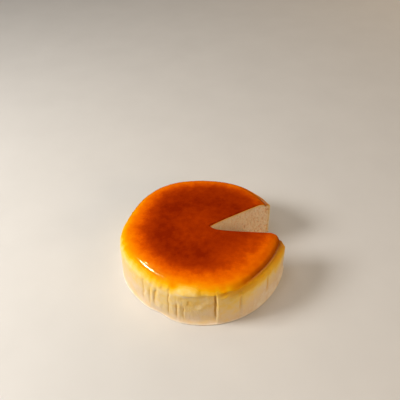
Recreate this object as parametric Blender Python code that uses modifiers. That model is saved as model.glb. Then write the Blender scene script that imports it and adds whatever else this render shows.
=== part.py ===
# Baked soft cheesecake, 15 cm across and half as tall as a sponge, with one eighth cut out.
# One closed solid in metres, +Z up. It stands on z = 0 with the middle of its box at x = y = 0.
# Angles run anticlockwise from +X, so the side that the cake shows first is at -90 degrees.

import math

import bmesh
import bpy
import numpy as np

MM = 0.001

# The whole cake
CAKE_RADIUS = 75.0 * MM
RIM_HEIGHT = 41.2 * MM
DOME_RISE = 2.0 * MM
DOME_POWER = 3.0
SHOULDER_WIDTH = 8.4 * MM
SHOULDER_DROP = 10.7 * MM
FOOT_ROUNDING = 1.3 * MM
FOOT_SPREAD = 0.5 * MM
FOOT_BAND = 2.6 * MM
WALL_HOLLOW = 0.35 * MM

# The tin's paper leaves the outline uneven: (waves round the cake, cosine mm, sine mm)
OUTLINE_WAVES = (
    (2, -0.81, -0.09),
    (3, 0.25, 0.47),
    (4, 0.11, 0.65),
    (5, -0.15, -0.63),
    (6, 0.35, 0.17),
)

# Soft waviness of the top: (waves along x, waves along y, phase, height mm) over the width
TOP_WAVES = (
    (0.9, 0.5, 0.4, 0.22),
    (-0.6, 1.3, 2.1, 0.18),
    (1.9, -1.1, 4.4, 0.10),
    (1.2, 2.3, 1.3, 0.08),
)

# Folds that the paper pressed into the wall, each a line on the unrolled wall:
# (start angle deg, start height mm, end angle deg, end height mm, half width mm, rise mm)
SEEN_FOLDS = (
    (-134.8, 19.0, -134.3, 33.0, 0.9, -0.60),
    (-128.9, 15.0, -128.5, 33.5, 0.8, -0.45),
    (-124.0, 20.0, -122.8, 33.0, 1.0, -0.80),
    (-113.3, 8.0, -113.0, 38.0, 0.7, -0.50),
    (-108.1, 4.0, -108.1, 24.0, 0.9, -0.55),
    (-104.2, 3.0, -104.0, 22.0, 0.9, -0.45),
    (-83.6, 3.0, -83.4, 35.0, 0.9, -1.25),
    (-82.0, 3.0, -81.9, 36.5, 0.8, 0.75),
    (-66.9, 9.0, -66.7, 34.0, 0.9, -0.70),
    (-42.6, 11.0, -42.4, 35.0, 1.1, -0.80),
    (-105.0, 29.0, -99.0, 34.5, 1.2, -0.80),
    (-99.0, 34.5, -84.5, 35.8, 1.2, -0.75),
    (-95.0, 17.0, -86.0, 28.5, 1.6, 0.85),
    (-81.0, 15.0, -74.0, 26.0, 1.5, 0.80),
    (-74.0, 26.0, -66.5, 30.5, 1.5, 0.80),
    (-104.5, 38.0, -97.5, 38.0, 2.6, 1.10),
)
HIDDEN_FOLD_COUNT = 13
HIDDEN_FOLD_SPAN = (36.0, 196.0)
HIDDEN_FOLD_SEED = 11

# The front wall stands back a little under the glazed shoulder
RECESS_ANGLE = -86.0
RECESS_HALF_SPAN = 21.0
RECESS_DEPTH = 0.8 * MM
RECESS_TOP = 33.0 * MM

# A dent low on the wall where the cake was lifted out of its paper
DENT_ANGLE = -121.0
DENT_HALF_SPAN = 7.0
DENT_DEPTH = 2.0 * MM
DENT_HEIGHT = 10.0 * MM

# On the right the browned cap has pulled in from the shoulder and left a groove and a lip
GROOVE_START_ANGLE = -80.0
GROOVE_FULL_ANGLE = -46.0
GROOVE_END_ANGLE = 62.0
GROOVE_START_RADIUS = 73.6 * MM
GROOVE_RADIUS = 69.4 * MM
GROOVE_HALF_WIDTH = 1.4 * MM
GROOVE_DEPTH = 2.0 * MM
CAP_FALL_WIDTH = 8.5 * MM
CAP_FALL = 2.0 * MM

# The rim's corner beside the near cut has sagged
SAG_ANGLE = -10.0
SAG_HALF_SPAN = 8.0
SAG_DEPTH = 6.0 * MM
SAG_START_RADIUS = 65.5 * MM

# The missing slice
TIP_X = 6.5 * MM
TIP_Y = 1.2 * MM
NEAR_CUT_ANGLE = -11.0
FAR_CUT_ANGLE = 31.0
NEAR_CUT_BOW = 5.6 * MM
BOW_GROWTH = 4.0 * MM
BOW_LENGTH = 56.0 * MM
BOW_AT_BASE = 0.45
CUT_EDGE_ROUNDING = 1.0 * MM
TIP_EDGE_ROUNDING = 2.2 * MM
TIP_LENGTH = 6.0 * MM
CUT_REACH = 84.0 * MM
CUT_OVERSHOOT = 80.0 * MM

# Crumb torn by the knife: soft upright grains, coarser near the rim and the base
CRUMB_WAVE_COUNT = 9
CRUMB_SEED = 5
CRUMB_DEPTH = 0.42 * MM
CRUMB_GRAIN_WIDTH = (4.5 * MM, 12.0 * MM)
CRUMB_GRAIN_HEIGHT = (11.0 * MM, 30.0 * MM)

# The cake's own axis, set so that the finished solid's box is centred on the origin
AXIS_X = 0.66 * MM
AXIS_Y = 0.99 * MM

# Fineness of the surface
COLUMNS = 150
TOP_RINGS = 9
TOP_RING_POWER = 0.68
SHOULDER_RINGS = 9
WALL_RINGS = 10
FOOT_RINGS = 2
COLUMN_CROWDING = 3.2
CROWDING_HALF_WIDTH = 1.3
CUT_COLUMNS = 30
CUT_ROWS = 13

CAP_RADIUS = CAKE_RADIUS - SHOULDER_WIDTH


def clear_scene():
    for old_object in list(bpy.data.objects):
        bpy.data.objects.remove(old_object, do_unlink=True)


def new_collection(name):
    collection = bpy.data.collections.new(name)
    bpy.context.scene.collection.children.link(collection)
    return collection


def baked_material():
    """Golden baked cheesecake with a thin glaze: fairly smooth and not metallic."""
    material = bpy.data.materials.new("golden baked cheesecake")
    material.use_nodes = True
    shader = material.node_tree.nodes["Principled BSDF"]
    shader.inputs["Base Color"].default_value = (0.78, 0.42, 0.10, 1.0)
    shader.inputs["Roughness"].default_value = 0.45
    shader.inputs["Metallic"].default_value = 0.0
    return material


def smooth_step(value):
    """0 below 0, 1 above 1, and an S-curve between."""
    share = np.clip(value, 0.0, 1.0)
    return share * share * (3.0 - 2.0 * share)


def bell(value):
    """A bump that is 1 at 0 and almost 0 beyond 2."""
    return np.exp(-value * value)


def angle_from(angle, centre):
    """Signed angle in degrees from centre, the short way round."""
    return (angle - centre + 180.0) % 360.0 - 180.0


def wall_folds():
    """The folds of the front, and a seeded row of like folds round the side that is not seen."""
    random = np.random.default_rng(HIDDEN_FOLD_SEED)
    folds = list(SEEN_FOLDS)
    low, high = HIDDEN_FOLD_SPAN
    pitch = (high - low) / HIDDEN_FOLD_COUNT
    for number in range(HIDDEN_FOLD_COUNT):
        middle = low + pitch * (number + random.uniform(0.2, 0.8))
        lean = random.uniform(-0.6, 0.6)
        foot = random.uniform(3.0, 14.0)
        head = random.uniform(28.0, 35.0)
        depth = random.uniform(0.4, 0.9)
        folds.append((middle - lean, foot, middle + lean, head, random.uniform(0.8, 1.2), -depth))
    return folds


FOLDS = wall_folds()


def fold_relief(angle, height):
    """Sum of all folds: each falls off as a bell across its line and ends softly."""
    along_wall = math.radians(1.0) * CAKE_RADIUS
    relief = np.zeros_like(angle)
    for start_angle, start_height, end_angle, end_height, half_width, rise in FOLDS:
        run = (end_angle - start_angle) * along_wall
        climb = (end_height - start_height) * MM
        length = math.hypot(run, climb)
        across = angle_from(angle, start_angle) * along_wall
        up = height - start_height * MM
        share = np.clip((across * run + up * climb) / length**2, 0.0, 1.0)
        distance = np.hypot(across - share * run, up - share * climb)
        relief += rise * MM * bell(distance / (half_width * MM))
    return relief


def outline_factor(angle):
    """Uneven outline: the radius times 1 plus a few slow waves round the cake."""
    factor = np.ones_like(angle)
    turn = np.radians(angle)
    for waves, cosine, sine in OUTLINE_WAVES:
        factor += (cosine * np.cos(waves * turn) + sine * np.sin(waves * turn)) * MM / CAKE_RADIUS
    return factor


def wall_offset(angle, height):
    """How far the wall stands out from the plain turned form."""
    offset = fold_relief(angle, height)
    offset += FOOT_SPREAD * (1.0 - smooth_step(height / FOOT_BAND))
    offset -= WALL_HOLLOW * bell((height - 3.0 * FOOT_BAND) / (1.6 * FOOT_BAND))
    recess = 1.0 - smooth_step(np.abs(angle_from(angle, RECESS_ANGLE)) / RECESS_HALF_SPAN)
    below = 1.0 - smooth_step((height - RECESS_TOP) / (3.0 * MM) + 0.5)
    offset -= RECESS_DEPTH * recess * below * smooth_step(height / (2.0 * FOOT_BAND))
    dent = bell(angle_from(angle, DENT_ANGLE) / DENT_HALF_SPAN)
    offset -= DENT_DEPTH * dent * (1.0 - smooth_step(height / DENT_HEIGHT))
    return offset


def rim_groove(angle, radius):
    """Depth of the pulled-in cap's fall and of the groove outside it, nil round the back."""
    turn = angle_from(angle, 0.0)
    rise = smooth_step((turn - GROOVE_START_ANGLE) / (GROOVE_FULL_ANGLE - GROOVE_START_ANGLE))
    fade = smooth_step((GROOVE_END_ANGLE - turn) / (GROOVE_FULL_ANGLE - GROOVE_START_ANGLE))
    middle = GROOVE_START_RADIUS + (GROOVE_RADIUS - GROOVE_START_RADIUS) * rise
    fall = CAP_FALL * smooth_step((radius - middle) / CAP_FALL_WIDTH + 1.0)
    groove = GROOVE_DEPTH * bell((radius - middle) / GROOVE_HALF_WIDTH)
    outer_end = smooth_step((CAKE_RADIUS - radius) / (2.0 * GROOVE_HALF_WIDTH))
    return rise * fade * (fall + groove) * outer_end


def corner_sag(angle, radius):
    """Depth by which the rim has sunk beside the near cut, most at the wall."""
    out = smooth_step((radius - SAG_START_RADIUS) / (CAKE_RADIUS - SAG_START_RADIUS))
    return SAG_DEPTH * out * bell(angle_from(angle, SAG_ANGLE) / SAG_HALF_SPAN)


def top_offset(angle, radius):
    """How far the top stands above the plain turned form."""
    turn = np.radians(angle)
    offset = np.zeros_like(angle)
    scale = 2.0 * math.pi / (2.0 * CAKE_RADIUS)
    for waves_x, waves_y, phase, height in TOP_WAVES:
        wave = waves_x * np.cos(turn) + waves_y * np.sin(turn)
        offset += height * MM * np.sin(wave * radius * scale + phase)
    return offset - rim_groove(angle, radius)


def top_height(radius):
    """Height of the plain turned form's upper side: a low dome, then a quarter ellipse."""
    dome = RIM_HEIGHT + DOME_RISE * (1.0 - np.minimum(radius / CAP_RADIUS, 1.0) ** DOME_POWER)
    out = np.clip((radius - CAP_RADIUS) / SHOULDER_WIDTH, 0.0, 1.0)
    return dome - SHOULDER_DROP * (1.0 - np.sqrt(1.0 - out * out))


def turned_profile():
    """Half section as (radius, height), from the top of the dome down to the base."""
    points = []
    for ring in range(TOP_RINGS):
        radius = CAP_RADIUS * (ring / TOP_RINGS) ** TOP_RING_POWER
        points.append((radius, float(top_height(radius))))
    for ring in range(SHOULDER_RINGS + 1):
        turn = 0.5 * math.pi * ring / SHOULDER_RINGS
        height = RIM_HEIGHT - SHOULDER_DROP * (1.0 - math.cos(turn))
        points.append((CAP_RADIUS + SHOULDER_WIDTH * math.sin(turn), height))
    wall_top = RIM_HEIGHT - SHOULDER_DROP
    for ring in range(1, WALL_RINGS + 1):
        height = wall_top + (FOOT_ROUNDING - wall_top) * ring / WALL_RINGS
        points.append((CAKE_RADIUS, height))
    for ring in range(1, FOOT_RINGS + 1):
        turn = 0.5 * math.pi * ring / FOOT_RINGS
        radius = CAKE_RADIUS - FOOT_ROUNDING * (1.0 - math.cos(turn))
        points.append((radius, FOOT_ROUNDING * (1.0 - math.sin(turn))))
    points.append((0.0, 0.0))
    return points


def turned_blank(collection):
    """The plain cake, turned from its half section and made a mesh of its own."""
    points = [(radius, 0.0, height) for radius, height in turned_profile()]
    edges = [(number, number + 1) for number in range(len(points) - 1)]
    profile = bpy.data.meshes.new("cake section")
    profile.from_pydata(points, edges, [])
    turning = bpy.data.objects.new("cake section", profile)
    collection.objects.link(turning)
    screw = turning.modifiers.new("turn", "SCREW")
    screw.axis = "Z"
    screw.steps = COLUMNS
    screw.render_steps = COLUMNS
    screw.use_merge_vertices = True
    screw.merge_threshold = 0.00005
    depsgraph = bpy.context.evaluated_depsgraph_get()
    mesh = bpy.data.meshes.new_from_object(turning.evaluated_get(depsgraph))
    bpy.data.objects.remove(turning, do_unlink=True)
    return mesh


def crowded_angle(even_angle):
    """Moves evenly spaced columns towards the upright folds, keeping their order."""
    samples = np.linspace(0.0, 360.0, 3601)
    density = np.ones_like(samples)
    for start_angle, _, end_angle, _, _, _ in FOLDS:
        if abs(end_angle - start_angle) < 2.0:
            middle = 0.5 * (start_angle + end_angle)
            density += COLUMN_CROWDING * bell(angle_from(samples, middle) / CROWDING_HALF_WIDTH)
    running = np.concatenate(([0.0], np.cumsum(0.5 * (density[1:] + density[:-1]))))
    running *= 360.0 / running[-1]
    return np.interp(even_angle, running, samples)


def shape_skin(mesh):
    """Gives the turned blank its uneven outline, folds, groove and wavy top."""
    count = len(mesh.vertices)
    flat = np.empty(3 * count)
    mesh.vertices.foreach_get("co", flat)
    points = flat.reshape(count, 3)
    radius = np.hypot(points[:, 0], points[:, 1])
    height = points[:, 2].copy()
    angle = crowded_angle(np.degrees(np.arctan2(points[:, 1], points[:, 0])) % 360.0)
    on_wall = smooth_step((radius - CAP_RADIUS) / (0.7 * SHOULDER_WIDTH))
    upper_side = smooth_step((height - 0.62 * RIM_HEIGHT) / (0.12 * RIM_HEIGHT))
    above_base = smooth_step(height / (0.75 * RIM_HEIGHT))
    shaped_radius = radius * outline_factor(angle) + on_wall * wall_offset(angle, height)
    shaped_height = height + upper_side * top_offset(angle, radius) - above_base * corner_sag(angle, radius)
    turn = np.radians(angle)
    points[:, 0] = AXIS_X + shaped_radius * np.cos(turn)
    points[:, 1] = AXIS_Y + shaped_radius * np.sin(turn)
    points[:, 2] = shaped_height
    mesh.vertices.foreach_set("co", points.ravel())
    mesh.update()


def crumb_waves():
    """Seeded waves of the torn crumb: (along, up, phase, share of the depth) for each."""
    random = np.random.default_rng(CRUMB_SEED)
    waves = []
    for _ in range(CRUMB_WAVE_COUNT):
        along = 2.0 * math.pi / random.uniform(*CRUMB_GRAIN_WIDTH)
        up = 2.0 * math.pi / random.uniform(*CRUMB_GRAIN_HEIGHT) * random.choice((-1.0, 1.0))
        waves.append((along, up, random.uniform(0.0, 2.0 * math.pi), 1.0 / math.sqrt(CRUMB_WAVE_COUNT)))
    return waves


def crumb_relief(distance, height, depth_share):
    """Depth of the torn crumb: finest at the top and the tip, nil just under the skin."""
    relief = np.zeros_like(distance)
    for along, up, phase, share in crumb_waves():
        relief += share * np.sin(along * distance + up * height + phase)
    coarseness = 0.45 + 0.5 * distance / CAKE_RADIUS + 0.4 * depth_share
    return CRUMB_DEPTH * relief * coarseness * smooth_step(8.0 * depth_share)


def cut_sheet(side, distance, level):
    """One side of the missing slice. side is -1 for the near cut and 1 for the far one.

    A point runs out from the tip along a straight cut. The near one bows into the cake, most
    at the top. level is 0 at the base and 1 at the top, where the edge is rounded over.
    """
    cut_angle = math.radians(NEAR_CUT_ANGLE if side < 0 else FAR_CUT_ANGLE)
    along = np.array([math.cos(cut_angle), math.sin(cut_angle)])
    across = side * np.array([-along[1], along[0]])
    middle_angle = math.radians(0.5 * (NEAR_CUT_ANGLE + FAR_CUT_ANGLE))
    back = -np.array([math.cos(middle_angle), math.sin(middle_angle)])
    turned = smooth_step(distance / (0.5 * TIP_LENGTH))[:, None]
    push = turned * across + (1.0 - turned) * back
    push /= np.linalg.norm(push, axis=1)[:, None]
    line = np.array([TIP_X, TIP_Y]) + distance[:, None] * along
    bow = (NEAR_CUT_BOW if side < 0 else 0.0) * (1.0 - np.exp(-distance / BOW_GROWTH))
    bow *= np.clip(1.0 - (distance / BOW_LENGTH) ** 2, 0.0, 1.0)
    bow *= BOW_AT_BASE + (1.0 - BOW_AT_BASE) * np.clip(level, 0.0, 1.0)
    surface = top_height(np.hypot(line[:, 0], line[:, 1]))
    below = (1.0 - level) * surface
    rounding = CUT_EDGE_ROUNDING + (TIP_EDGE_ROUNDING - CUT_EDGE_ROUNDING) * np.exp(-distance / TIP_LENGTH)
    rise = np.clip(1.0 - below / rounding, 0.0, 1.0)
    flare = rounding * (1.0 - np.sqrt(1.0 - rise * rise)) + np.clip(-below, 0.0, None)
    height = min(level, 1.0) * surface + max(level - 1.0, 0.0) * CUT_OVERSHOOT
    offset_along = distance + (0.0 if side < 0 else CAKE_RADIUS)
    crumb = turned[:, 0] * crumb_relief(offset_along, height, np.clip(1.0 - level, 0.0, 1.0))
    plan = line + bow[:, None] * across + (flare + crumb)[:, None] * push
    return np.column_stack((plan[:, 0] + AXIS_X, plan[:, 1] + AXIS_Y, height))


def wedge_cutter(collection):
    """Closed loft of the missing slice, from under the base to above the top."""
    near = CUT_REACH * (np.arange(CUT_COLUMNS + 1) / CUT_COLUMNS) ** 1.25
    far = near[:0:-1]
    inner = np.linspace(0.0, 1.0, CUT_ROWS) ** 0.8
    levels = np.concatenate(([-0.12], inner, [1.03, 1.2]))
    rings = []
    for level in levels:
        rings.append(np.vstack((cut_sheet(-1, near, level), cut_sheet(1, far, level))))
    shape = bmesh.new()
    rows = [[shape.verts.new(point) for point in ring] for ring in rings]
    size = len(rows[0])
    for lower, upper in zip(rows[:-1], rows[1:]):
        for number in range(size):
            after = (number + 1) % size
            shape.faces.new((lower[number], lower[after], upper[after], upper[number]))
    shape.faces.new(list(reversed(rows[0])))
    shape.faces.new(rows[-1])
    mesh = bpy.data.meshes.new("missing slice")
    shape.to_mesh(mesh)
    shape.free()
    cutter = bpy.data.objects.new("missing slice", mesh)
    cutter.hide_render = True
    cutter.display_type = "WIRE"
    collection.objects.link(cutter)
    return cutter


def build_cheesecake():
    clear_scene()
    cake_collection = new_collection("cheesecake")
    cutter_collection = new_collection("cheesecake cutters")
    mesh = turned_blank(cake_collection)
    mesh.name = "cheesecake"
    shape_skin(mesh)
    cake = bpy.data.objects.new("cheesecake", mesh)
    cake_collection.objects.link(cake)
    mesh.materials.append(baked_material())
    mesh.shade_smooth()
    mesh.set_sharp_from_angle(angle=math.radians(50.0))
    cut = cake.modifiers.new("take the slice out", "BOOLEAN")
    cut.operation = "DIFFERENCE"
    cut.solver = "EXACT"
    cut.object = wedge_cutter(cutter_collection)
    return cake


build_cheesecake()
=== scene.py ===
import math
import bmesh
import bpy
import mathutils
import numpy as np
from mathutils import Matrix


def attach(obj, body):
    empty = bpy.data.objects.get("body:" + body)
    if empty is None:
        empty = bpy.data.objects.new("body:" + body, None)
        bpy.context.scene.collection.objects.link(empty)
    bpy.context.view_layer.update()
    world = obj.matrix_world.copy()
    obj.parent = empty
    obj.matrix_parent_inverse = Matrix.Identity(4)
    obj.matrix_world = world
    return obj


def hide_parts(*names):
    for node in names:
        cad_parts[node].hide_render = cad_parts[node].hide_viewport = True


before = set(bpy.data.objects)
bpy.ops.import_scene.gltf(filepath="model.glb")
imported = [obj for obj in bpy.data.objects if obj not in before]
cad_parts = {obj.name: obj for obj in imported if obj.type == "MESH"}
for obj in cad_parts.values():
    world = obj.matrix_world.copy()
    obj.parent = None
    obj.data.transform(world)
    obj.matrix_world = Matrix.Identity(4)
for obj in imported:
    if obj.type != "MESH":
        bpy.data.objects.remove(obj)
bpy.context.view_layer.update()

print("frame is loaded")

mm = 0.001  # lengths are in mm and angles in degrees until a mesh is made, in metres
mergeDistance = 0.000002  # metres; points closer than this become one
latticeSize = 64  # cells after which a random lattice repeats


def ease(value):
    # 0 below 0, 1 above 1, and between them three times the square less twice the cube
    share = np.clip(value, 0, 1)
    return share * share * (3 - 2 * share)


def rising(value, band):
    # an S-curve up from the first number over the second, or down to the first if the second is negative
    return ease((value - band[0]) / band[1])


def bell(value):
    # e to the power of minus the square
    return np.exp(-value * value)


def angleFrom(angle, centre):
    # signed degrees from centre, the short way round
    return (angle - centre + 180) % 360 - 180


def bellAt(value, spot):
    # a bell round the spot's first number, with the second as half width
    return bell((value - spot[0]) / spot[1])


def direction(degrees):
    # cosine and sine of an angle, side by side
    turn = np.radians(degrees)
    return np.stack((np.cos(turn), np.sin(turn)), -1)


def between(value, knots, period=None):
    # straight lines between knots of (place, value), round a ring if a period is given
    places, values = zip(*knots)
    return np.interp(value, places, values, period=period)


def lattice(x, y, seed):
    # value noise from -1 to 1: random numbers at a square lattice's points, blended with an S-curve
    table = np.random.default_rng(seed).uniform(-1, 1, (latticeSize, latticeSize))
    cellX, cellY = np.floor(x).astype(int), np.floor(y).astype(int)
    shareX, shareY = ease(x - cellX), ease(y - cellY)
    column, nextColumn = cellX % latticeSize, (cellX + 1) % latticeSize
    row, nextRow = cellY % latticeSize, (cellY + 1) % latticeSize
    low = table[column, row] * (1 - shareX) + table[nextColumn, row] * shareX
    high = table[column, nextRow] * (1 - shareX) + table[nextColumn, nextRow] * shareX
    return low * (1 - shareY) + high * shareY


def cellNoise(x, y, cell, seed=0):
    # the same noise over cells with a width, a height and a seed
    width, height, ownSeed = cell
    return lattice(x / width, y / height, seed + ownSeed)


def cellDistance(x, y, seed):
    # distance to the nearest of one jittered point a cell: 0 at a grain's middle, about 1 in a gap
    random = np.random.default_rng(seed)
    shape = (latticeSize, latticeSize)
    jitterX, jitterY = random.uniform(0.1, 0.9, shape), random.uniform(0.1, 0.9, shape)
    cellX, cellY = np.floor(x).astype(int), np.floor(y).astype(int)
    nearest = np.full(x.shape, np.inf)
    for stepX in (-1, 0, 1):
        for stepY in (-1, 0, 1):
            column, row = (cellX + stepX) % latticeSize, (cellY + stepY) % latticeSize
            awayX = cellX + stepX + jitterX[column, row] - x
            awayY = cellY + stepY + jitterY[column, row] - y
            nearest = np.minimum(nearest, np.hypot(awayX, awayY))
    return nearest


# The cake's turned form: a low dome, a quarter ellipse, a straight wall and a rounded foot
cake = {
    "axis": (0.66, 0.99),
    "radius": 75,
    "rimHeight": 41.2,
    "domeRise": 2,
    "domePower": 3,
    "shoulderWidth": 8.4,
    "shoulderDrop": 10.7,
    "footRounding": 1.3,
    "footSpread": 1.1,
    "footBand": 2.6,
    "hollow": (0.35, 3, 1.6),  # depth, then its height and half width in foot bands
    # waves round the cake, then cosine and sine in mm
    "outlineWaves": ((2, -0.81, -0.09), (3, 0.25, 0.47), (4, 0.11, 0.65), (5, -0.15, -0.63), (6, 0.35, 0.17)),
    # waves along x and along y, phase, height
    "topWaves": ((0.9, 0.5, 0.4, 0.22), (-0.6, 1.3, 2.1, 0.18), (1.9, -1.1, 4.4, 0.1), (1.2, 2.3, 1.3, 0.08)),
    "wavesFrom": (0.62, 0.12),  # start and length, as shares of the rim's height
    "sagOver": 0.75,  # the corner's sag grows over this share of it
    "wallFrom": 0.7,  # and the wall's marks over this share of the shoulder
}
capRadius = cake["radius"] - cake["shoulderWidth"]
wallTop = cake["rimHeight"] - cake["shoulderDrop"]

# Folds that the baking paper left on the wall, each a line: angle and height at both ends, half width
# and rise, which is negative for a crease
foldMarks = {
    "shown": (
        (-135.6, 5, -133.7, 36, 1.3, -0.55), (-131.4, 6, -130.6, 35, 1.5, 0.35),
        (-129.6, 5, -128, 29, 1.1, -0.45), (-126.8, 8, -125.6, 34, 1.4, 0.40),
        (-125.4, 10, -122.3, 34, 1.2, -0.85), (-120.8, 6, -119.8, 34, 1.7, 0.40),
        (-114, 4, -113.2, 38, 0.9, -0.55), (-111, 4, -110.6, 28, 1.4, 0.35),
        (-108.4, 4, -107.8, 25, 1.1, -0.60), (-106, 5, -105.8, 26, 1.2, 0.40),
        (-103.7, 3, -103.6, 22, 1, -0.45), (-100.5, 22.5, -100, 29.5, 1.2, -0.60),
        (-83.2, 5, -83.5, 37.5, 0.9, -1.25), (-81.5, 5, -82.1, 38, 0.9, 0.95),
        (-66.9, 9, -66.7, 34, 0.9, -0.70), (-42.8, 8, -42.6, 35, 1.1, -0.80),
        (-45.4, 8, -45.2, 34, 1.2, 0.30), (-105.5, 30, -99, 33.6, 1.6, -0.40),
        (-99, 33.6, -84.5, 35.6, 1.6, -0.25), (-95.5, 17, -90, 24, 2.6, 0.75),
        (-91, 23.6, -84.3, 29, 1.9, 0.60), (-80.8, 30.6, -74.5, 33, 1.2, 0.95),
        (-80.5, 37.2, -71, 37.4, 1.2, 1.10), (-76.5, 24.8, -62.5, 31.8, 1.7, 1.50),
        (-129, 35.2, -126.6, 36.4, 2.2, 0.70), (-121, 35.4, -118.6, 36.8, 2.4, 0.80),
        (-115.8, 36.8, -113.4, 38.2, 2, 0.60), (-107.4, 37.2, -92.5, 38, 3.5, 1.60),
    ),
    # like folds round the far side: a crease and a low rib in each of so many sectors
    "hidden": (13, (36, 196)),
    "hiddenSeed": 11,
    # a crease's place in its sector, half of its lean, foot, head, depth and half width
    "creaseRanges": ((0.2, 0.8), (-0.9, 0.9), (3, 9), (24, 37), (0.4, 0.8), (0.8, 1.2)),
    "ribAway": (-2.4, 2.4),  # the rib's place beside it, one or the other
    "ribShorter": (1, 2),  # at its foot and at its head
    "ribRanges": ((1.2, 1.8), (0.3, 0.5)),  # its half width and its rise
    # how every fold runs
    "reach": 7,  # degrees past its ends that it may mark
    "waver": (0.55, 4.5),  # sideways wander, and the length of its waves
    "overrun": 0.06,  # share of its length past each end
    "fade": 0.35,  # share of its length for each fade
    "patches": (0.45, 3.4, 5),  # unevenness: amount, mm, degrees
    "widePatches": 1.5,  # folds with a wider half width are smoother
    "creaseNarrowing": 0.80,  # creases are crisp
    "sideRidge": (2, 1.8, 0.30),  # place and half width in fold widths, share
    "noiseShift": (7.3, 3.1, 5.7),  # noise cells from one fold to the next
    "noiseSeeds": (8, 9),
}


def allFolds():
    # the folds that show, then the far side's, drawn in order with one seed
    marks = foldMarks
    random = np.random.default_rng(marks["hiddenSeed"])
    found = list(marks["shown"])
    count, (low, high) = marks["hidden"]
    later, sooner = marks["ribShorter"]
    for number in range(count):
        place, lean, foot, head, depth, half = (random.uniform(*span) for span in marks["creaseRanges"])
        middle = low + (high - low) / count * (number + place)
        found.append((middle - lean, foot, middle + lean, head, half, -depth))
        rib = middle + random.choice(marks["ribAway"])
        half, rise = (random.uniform(*span) for span in marks["ribRanges"])
        found.append((rib - lean, foot + later, rib + lean, head - sooner, half, rise))
    return found


folds = allFolds()


def foldRelief(angle, height):
    # Sum over the folds of rise times a bell of the distance to the fold's wavering line, fading at
    # both ends and uneven along it, less a share of a soft ridge that runs along one side
    marks = foldMarks
    wander, waveLength = marks["waver"]
    patchAmount, patchHeight, patchWidth = marks["patches"]
    ridgeAway, ridgeHalfWidth, ridgeShare = marks["sideRidge"]
    shiftUp, shiftAcross, shiftPatch = marks["noiseShift"]
    waverSeed, patchSeed = marks["noiseSeeds"]
    overrun, fadeLength = marks["overrun"], marks["fade"]
    alongWall = math.radians(1) * cake["radius"]  # mm of wall in a degree
    relief = np.zeros(np.broadcast(angle, height).shape)
    for number, (startAngle, startHeight, endAngle, endHeight, halfWidth, rise) in enumerate(folds):
        middle, halfSpan = 0.5 * (startAngle + endAngle), 0.5 * abs(endAngle - startAngle)
        near = np.abs(angleFrom(angle, middle)) < halfSpan + marks["reach"]
        nearAngle, nearHeight = angle[near], height[near]
        run, climb = (endAngle - startAngle) * alongWall, endHeight - startHeight
        length = math.hypot(run, climb)
        waverRow = 0 * nearHeight + shiftAcross * number
        waver = wander * lattice(nearHeight / waveLength + shiftUp * number, waverRow, waverSeed)
        across = angleFrom(nearAngle, startAngle) * alongWall + waver
        up = nearHeight - startHeight
        share = np.clip((across * run + up * climb) / (length * length), -overrun, 1 + overrun)
        offLine = (across * climb - up * run) / length
        beyond = np.hypot(across - share * run, up - share * climb)
        fade = ease((share + overrun) / fadeLength) * ease((1 + overrun - share) / fadeLength)
        patchy = patchAmount * min(1, marks["widePatches"] / halfWidth) ** 2
        patchRow = nearHeight / patchHeight + shiftPatch * number
        uneven = 1 + patchy * lattice(patchRow, nearAngle / patchWidth, patchSeed)
        side = 1 if number % 2 else -1
        width = halfWidth * (marks["creaseNarrowing"] if rise < 0 else 1)
        ridge = bell((offLine + side * ridgeAway * width) / (ridgeHalfWidth * width))
        ridge = ridge * bell((beyond - np.abs(offLine)) / halfWidth)
        relief[near] += rise * fade * uneven * (bell(beyond / width) - ridgeShare * ridge)
    return relief


def outlineFactor(angle):
    # 1 plus the sum of slow cosine and sine waves round the cake, over its radius
    turn = np.radians(angle)
    factor = np.ones_like(turn)
    for waves, cosine, sine in cake["outlineWaves"]:
        factor += (cosine * np.cos(waves * turn) + sine * np.sin(waves * turn)) / cake["radius"]
    return factor


# What else marks the wall. A noise cell has a width in degrees, a height in mm and a seed
wallMarks = {
    # panels that slope inwards to the right and end in a step: start, end, depth, top
    "slopes": ((-107, -83.6, 2.1, 34.6), (-81.2, -66.8, 0.9, 33), (-66.2, -44, 0.7, 34)),
    "stepWidth": 1.5,  # degrees, at a panel's end
    "slopeFade": 2.2,  # mm, at its top
    "dent": (-121, 7, 2, 10),  # angle, half span, depth, height
    "flutes": 0.16,  # fine upright wrinkles between the folds
    "fluteCells": ((2.1, 16, 3), (0.8, 8, 4)),
    "flutesOver": 3,  # mm from the base in which they grow
    "panels": 0.22,  # slow unevenness of the whole wall
    "panelCell": (11, 30, 5),
    "panelsOver": 6,
    "lumps": 0.42,  # small lumps where the glaze ends
    "lumpCells": ((2.6, 4, 6), (1.3, 2, 7)),
    "lumpBand": (35, 4),  # their height on the wall, and its half width
    "smoothLump": (-101, 6.5, 0.9),  # few on the wide lump: angle, half span, share off
}


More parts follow.
